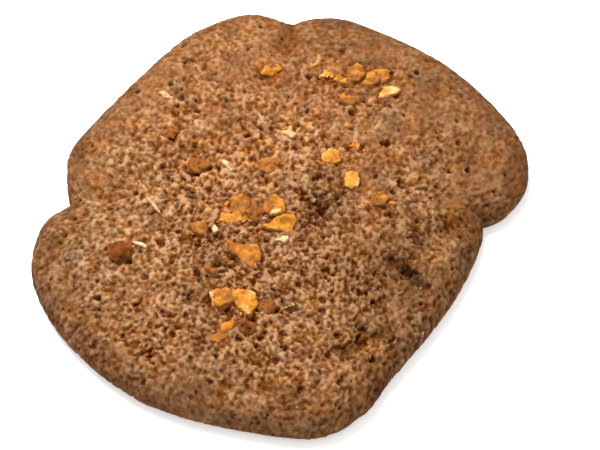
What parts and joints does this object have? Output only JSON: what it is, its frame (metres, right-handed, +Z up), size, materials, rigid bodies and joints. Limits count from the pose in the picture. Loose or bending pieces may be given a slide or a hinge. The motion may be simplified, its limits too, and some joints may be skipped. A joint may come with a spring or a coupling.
{
  "type": "speculaas biscuit",
  "caption": "Flat, hand-shaped spiced biscuit with an uneven lobed outline, a rounded rim, a coarse porous crust and chopped roasted nuts baked into its top.",
  "frame": {"origin": "under the middle of the outline, on the flat underside that the biscuit rests on", "axes": "+Z up through the biscuit's thickness, +X along its greatest width, +Y towards the lobes behind"},
  "size_m": [0.1, 0.0975, 0.0112],
  "materials": {
    "spiced_dough": "dry, matt and porous baked crumb",
    "roasted_nut": "satin cut nut flesh, roasted golden",
    "nut_skin": "satin brown nut skin, baked under a film of dough",
    "pale_nut": "matt pale chips and slivers of nut"
  },
  "bodies": {
    "root": {"biscuit": "spiced_dough"}
  },
  "joints": []
}
